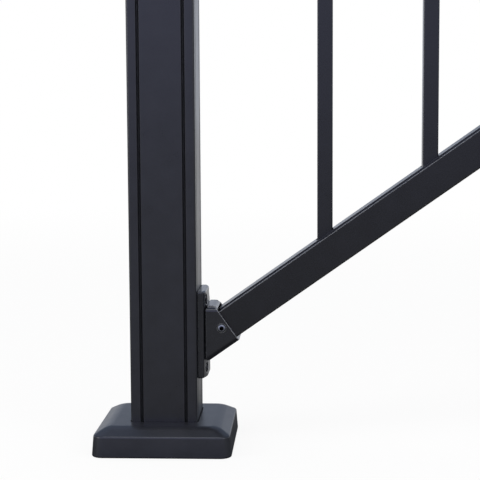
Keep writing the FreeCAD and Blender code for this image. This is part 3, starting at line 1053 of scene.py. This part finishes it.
def make_screw_metal(name, groups, colour, roughness):
    """Screw metal with a faint grain, and painted shade that darkens it where little light falls.
    """
    metal, tree, shader, place = new_material(name)
    grain = put_group(tree, groups["grain"], place, Ripple_Height=0.000004,
                      Grain_Height=0.000005, Ripples_per_Metre=900.0)
    shade = mottled(tree, grain["Mottle"], colour, 0.25)
    # Painted shade: the colour goes dark in the socket and other recesses that the occlusion finds.
    hidden = fill(add_node(tree, "ShaderNodeAmbientOcclusion", samples=8), Distance=0.004)
    unshaded = between(tree, hidden.outputs["AO"], low=0.45, high=0.85)
    shade = mix_colour(tree, unshaded, [SOCKET_SHADE * part for part in colour], shade)
    gloss = plus_share(tree, roughness - SCREW_MOTTLE / 2, grain["Mottle"], SCREW_MOTTLE)
    add_relief(tree, shader, grain["Height"])
    fill(shader, Base_Color=shade, Roughness=gloss, Metallic=1.0)
    return metal


class RAILING_OT_make_coats(bpy.types.Operator):
    """Make the powder coats and screw metals, and coat the frame's own pieces"""

    bl_idname = "railing.make_coats"
    bl_label = "Make coats"

    def execute(self, context):
        colours = context.scene.railing_coat
        groups = {"grain": grain_group(), "wear_and_highlight": wear_and_highlight_group(), "dust": dust_group()}
        for slot, finish in FINISHES.items():
            coats[slot] = make_coat("powder_" + slot, groups, colours, finish)
        coats["black_screw"] = make_screw_metal("black_screw", groups, colours.screw, 0.38)
        coats["steel_screw"] = make_screw_metal("steel_screw", groups, colours.steel, 0.3)
        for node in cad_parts.values():
            for holder in node.material_slots:
                holder.material = coats[holder.material.name]
        return {"FINISHED"}


class RAILING_OT_add_covers(bpy.types.Operator):
    """Add the covers over both base plates"""

    bl_idname = "railing.add_covers"
    bl_label = "Add base covers"

    def execute(self, context):
        low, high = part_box("lower_base_cover")
        shape = shape_cover(context.scene.railing_cover, high.z - low.z)
        place_on_posts(shape, "_base_cover", "cover_", "cover_coat")
        return {"FINISHED"}


class RAILING_OT_add_caps(bpy.types.Operator):
    """Add the caps on both posts"""

    bl_idname = "railing.add_caps"
    bl_label = "Add post caps"

    def execute(self, context):
        low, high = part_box("lower_post_cap")
        shape = shape_cap(context.scene.railing_cap, high.x - low.x, high.z - low.z)
        place_on_posts(shape, "_post_cap", "cap_", "cap_coat")
        return {"FINISHED"}


class RAILING_OT_add_posts(bpy.types.Operator):
    """Add both grooved posts"""

    bl_idname = "railing.add_posts"
    bl_label = "Add posts"

    def execute(self, context):
        low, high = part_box("lower_post")
        shape = shape_post(context.scene.railing_post, high.x - low.x, high.z - low.z)
        place_on_posts(shape, "_post", "grooved_post_", "post_coat")
        return {"FINISHED"}


class RAILING_OT_add_rails(bpy.types.Operator):
    """Add the bottom rail and the top rail with their strips"""

    bl_idname = "railing.add_rails"
    bl_label = "Add rails"

    def execute(self, context):
        sizes = context.scene.railing_rail
        rails = (("bottom", sizes.foot_edge, False), ("top", sizes.hand_edge, True))
        for name, far_edge, strip_below in rails:
            rail = rename(shape_rail(sizes, far_edge, strip_below, name), "rail_" + name)
            finish_piece(rail, "rail_coat", name + "_rail")
        for name, _, strip_below in rails:
            strip = shape_strip(context.scene.railing_strip, strip_below, name)
            finish_piece(rename(strip, "strip_" + name), "strip_coat", name + "_rail_strip")
        return {"FINISHED"}


class RAILING_OT_add_plates(bpy.types.Operator):
    """Add the wall plates of the four stair brackets"""

    bl_idname = "railing.add_plates"
    bl_label = "Add bracket plates"

    def execute(self, context):
        shape = shape_plate(context.scene.railing_plate)
        place_on_brackets(shape, "_bracket_plate", "plate_")
        return {"FINISHED"}


class RAILING_OT_add_cups(bpy.types.Operator):
    """Add the wedge cups of the four stair brackets"""

    bl_idname = "railing.add_cups"
    bl_label = "Add bracket cups"

    def execute(self, context):
        shape = shape_cup(context.scene.railing_cup)
        place_on_brackets(shape, "_bracket_cup", "cup_")
        return {"FINISHED"}


class RAILING_OT_add_screws(bpy.types.Operator):
    """Add the screws of the wall plates and of the cups' cheeks"""

    bl_idname = "railing.add_screws"
    bl_label = "Add screws"

    def execute(self, context):
        shape = shape_screw(context.scene.railing_screw)
        spot = cheek_screw_place()
        seats = {}
        for side, sign in (("front", -1), ("back", 1)):
            turn = Matrix.Rotation(-sign * math.pi / 2, 4, "X")
            seats["cheek_screw_" + side] = Matrix.Translation(
                (spot.x, sign * (CUP_WIDTH / 2 - SEAT_DEPTH), spot.z)) @ turn
            for level, (height, _) in POCKETS.items():
                turn = Matrix.Rotation(math.pi / 2, 4, "Y")
                seats["plate_screw_%s_%s" % (level, side)] = Matrix.Translation(
                    (POCKET_FLOOR, sign * POCKET_OFFSET, height)) @ turn
        for bracket in BRACKETS:
            for seat, matrix in seats.items():
                screw = copy_to(shape, seat + "_" + bracket, bracket_matrix(bracket) @ matrix)
                coat = "black_screw" if seat.startswith("cheek") else "steel_screw"
                finish_piece(screw, "bracket_coat", coat=coat)
        bpy.data.objects.remove(shape)
        return {"FINISHED"}


class RAILING_OT_add_balusters(bpy.types.Operator):
    """Add the square baluster tubes with their rounded corners"""

    bl_idname = "railing.add_balusters"
    bl_label = "Add balusters"

    def execute(self, context):
        low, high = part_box(BALUSTERS[0])
        shape = shape_baluster(context.scene.railing_baluster, low, high)
        for node in BALUSTERS:
            place = Matrix.Translation(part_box(node)[0] - low)
            tube = copy_to(shape, "tube_" + node[-2:], place)
            finish_piece(tube, "baluster_coat", node)
        bpy.data.objects.remove(shape)
        return {"FINISHED"}


def aim_camera(stage):
    """Camera at the photograph's place and angle."""
    camera = bpy.data.cameras.new("photo_camera")
    camera.lens = stage.camera_lens
    camera.sensor_width = 36.0
    yaw, pitch, roll = stage.camera_yaw, stage.camera_pitch, stage.camera_roll
    ahead = Vector((math.sin(yaw) * math.cos(pitch), math.cos(yaw) * math.cos(pitch),
                    -math.sin(pitch)))
    right = Vector((math.cos(yaw), -math.sin(yaw), 0.0))
    up = right.cross(ahead)
    turned_right = right * math.cos(roll) + up * math.sin(roll)
    turned_up = up * math.cos(roll) - right * math.sin(roll)
    holder = bpy.data.objects.new("photo_camera", camera)
    axes = Matrix((turned_right, turned_up, -ahead)).transposed()
    holder.matrix_world = Matrix.Translation(stage.camera_place) @ axes.to_4x4()
    bpy.context.scene.collection.objects.link(holder)
    bpy.context.scene.camera = holder


def mirror_ray(tree, path):
    """1 for rays from a mirror or glass, and 0 for the rest."""
    return maths(tree, "MAXIMUM", path.outputs["Is Glossy Ray"],
                 path.outputs["Is Transmission Ray"])


def paint_floor(stage):
    """Floor's material: its colour by the kind of ray, with a painted shadow under the railing in
    the gloss, and a white glow for the camera.
    """
    paint, tree, shader, place = new_material("pale_floor")
    path = add_node(tree, "ShaderNodeLightPath")
    parts = fill(add_node(tree, "ShaderNodeSeparateXYZ"), Vector=place)
    # Painted shadow: in reflections the floor goes dark right under the railing.
    mirrored_and_shaded = ramp(tree, parts.outputs["Y"], FLOOR_IN_GLOSS_AND_SHADOW)
    thrown = mix_colour(tree, path.outputs["Is Camera Ray"], stage.ground, stage.floor_colour)
    colour = mix_colour(tree, mirror_ray(tree, path), thrown, mirrored_and_shaded)
    fill(shader, Base_Color=colour, Roughness=0.9)
    reach = add_node(tree, "ShaderNodeVectorMath", operation="LENGTH")
    tree.links.new(place, reach.inputs[0])
    far = between(tree, reach.outputs["Value"], *WHITE_BAND)
    white = plus_share(tree, NEAR_WHITE, far, 1.0 - NEAR_WHITE)
    seen = maths(tree, "MULTIPLY", path.outputs["Is Camera Ray"], white)
    glow = fill(add_node(tree, "ShaderNodeEmission"), Strength=1.0)
    mix = fill(add_node(tree, "ShaderNodeMixShader"), Fac=seen)
    tree.links.new(shader.outputs["BSDF"], mix.inputs[1])
    tree.links.new(glow.outputs["Emission"], mix.inputs[2])
    fill(tree.nodes["Material Output"], Surface=mix.outputs["Shader"])
    return paint


def lay_floor(stage):
    """Pale floor that looks white from the camera but keeps the railing's shadow."""
    bpy.ops.object.select_all(action="DESELECT")
    bpy.ops.mesh.primitive_plane_add(size=60.0)
    floor = rename(bpy.context.active_object, "floor")
    floor.data.materials.append(paint_floor(stage))


def studio_colour(tree, parts, stage):
    """Studio by direction: a white horizon, a dimmer wall and ceiling, and a dim front."""
    rise = parts.outputs["Z"]
    back = mix_colour(tree, between(tree, rise, *WALL_BAND), stage.horizon, stage.wall)
    aside = between(tree, parts.outputs["X"], *SIDE_BAND)
    dimmed = maths(tree, "SUBTRACT", 1.0, maths(tree, "MULTIPLY", aside, SIDE_DIMMING))
    high = maths(tree, "MULTIPLY", between(tree, rise, *HIGH_BAND), dimmed)
    front = mix_colour(tree, high, stage.front_low, stage.front_high)
    ahead = maths(tree, "MULTIPLY", parts.outputs["Y"], -1.0)
    level = mix_colour(tree, between(tree, ahead, *FRONT_BAND), back, front)
    return mix_colour(tree, between(tree, rise, *CEILING_BAND), level, stage.ceiling)


def light_world(stage):
    """White studio: plain light all around, and a dimmer front and ceiling in the gloss."""
    world = bpy.data.worlds.new("studio")
    world.use_nodes = True
    bpy.context.scene.world = world
    tree = world.node_tree
    path = add_node(tree, "ShaderNodeLightPath")
    place = add_node(tree, "ShaderNodeTexCoord").outputs["Generated"]
    parts = fill(add_node(tree, "ShaderNodeSeparateXYZ"), Vector=place)
    plain = [stage.world_level] * 3
    surround = mix_colour(tree, mirror_ray(tree, path), plain, studio_colour(tree, parts, stage))
    seen = mix_colour(tree, path.outputs["Is Camera Ray"], surround, (1.0, 1.0, 1.0))
    fill(tree.nodes["Background"], Color=seen)


def hang_lamp(name, place, aim, power, size):
    """Soft rectangular lamp at a place, turned to a point of the railing."""
    bpy.ops.object.select_all(action="DESELECT")
    turn = (Vector(aim) - Vector(place)).to_track_quat("-Z", "Y").to_euler()
    bpy.ops.object.light_add(type="AREA", location=place, rotation=turn)
    lamp = bpy.context.active_object
    lamp.name = name
    lamp.visible_camera = False
    lamp.data.energy = power
    lamp.data.shape = "RECTANGLE"
    lamp.data.size, lamp.data.size_y = size


def hang_lamps(stage):
    """One lamp above and in front, and one on each side for the upright edges."""
    hang_lamp("upper_lamp", (0.2, -1.2, 2.3), (0.3, 0.0, 0.4), stage.top_lamp, (1.8, 1.0))
    hang_lamp("left_lamp", (-2.0, -1.0, 0.9), (0.2, 0.0, 0.4), stage.left_lamp, (1.0, 1.3))
    hang_lamp("right_lamp", (2.2, -1.6, 1.5), (0.3, 0.0, 0.4), stage.right_lamp, (1.0, 1.4))


class RAILING_OT_build_stage(bpy.types.Operator):
    """Set up the camera, the pale floor and the soft light"""

    bl_idname = "railing.build_stage"
    bl_label = "Build stage"

    def execute(self, context):
        stage = context.scene.railing_stage
        aim_camera(stage)
        lay_floor(stage)
        light_world(stage)
        hang_lamps(stage)
        context.scene.view_settings.view_transform = "Standard"
        return {"FINISHED"}


SETTINGS = {
    "railing_cover": RailingCoverSettings,
    "railing_cap": RailingCapSettings,
    "railing_plate": RailingPlateSettings,
    "railing_cup": RailingCupSettings,
    "railing_screw": RailingScrewSettings,
    "railing_post": RailingPostSettings,
    "railing_rail": RailingRailSettings,
    "railing_strip": RailingStripSettings,
    "railing_baluster": RailingBalusterSettings,
    "railing_coat": RailingCoatSettings,
    "railing_stage": RailingStageSettings,
}
OPERATORS = (RAILING_OT_build_stage, RAILING_OT_make_coats, RAILING_OT_add_covers,
             RAILING_OT_add_caps, RAILING_OT_add_posts, RAILING_OT_add_rails,
             RAILING_OT_add_plates, RAILING_OT_add_cups, RAILING_OT_add_screws,
             RAILING_OT_add_balusters)


class RAILING_PT_panel(bpy.types.Panel):
    """Sizes, colours and steps of the railing section"""

    bl_label = "Stair railing section"
    bl_idname = "RAILING_PT_panel"
    bl_space_type = "VIEW_3D"
    bl_region_type = "UI"
    bl_category = "Railing"

    def draw(self, context):
        for name, group in SETTINGS.items():
            box = self.layout.box()
            box.label(text=group.__doc__)
            for field in group.__annotations__:
                box.prop(getattr(context.scene, name), field)
        for operator in OPERATORS:
            self.layout.operator(operator.bl_idname)


def register():
    """Add the settings, operators and panel."""
    for name, group in SETTINGS.items():
        bpy.utils.register_class(group)
        setattr(bpy.types.Scene, name, PointerProperty(type=group))
    for item in (*OPERATORS, RAILING_PT_panel):
        bpy.utils.register_class(item)


def unregister():
    """Remove what register adds."""
    for item in (RAILING_PT_panel, *reversed(OPERATORS)):
        bpy.utils.unregister_class(item)
    for name, group in reversed(SETTINGS.items()):
        delattr(bpy.types.Scene, name)
        bpy.utils.unregister_class(group)


def main():
    """Build everything: the stage, the coats and every piece."""
    register()
    bpy.ops.railing.build_stage()
    bpy.ops.railing.make_coats()
    bpy.ops.railing.add_covers()
    bpy.ops.railing.add_caps()
    bpy.ops.railing.add_posts()
    bpy.ops.railing.add_rails()
    bpy.ops.railing.add_plates()
    bpy.ops.railing.add_cups()
    bpy.ops.railing.add_screws()
    bpy.ops.railing.add_balusters()


if __name__ == "__main__":
    main()
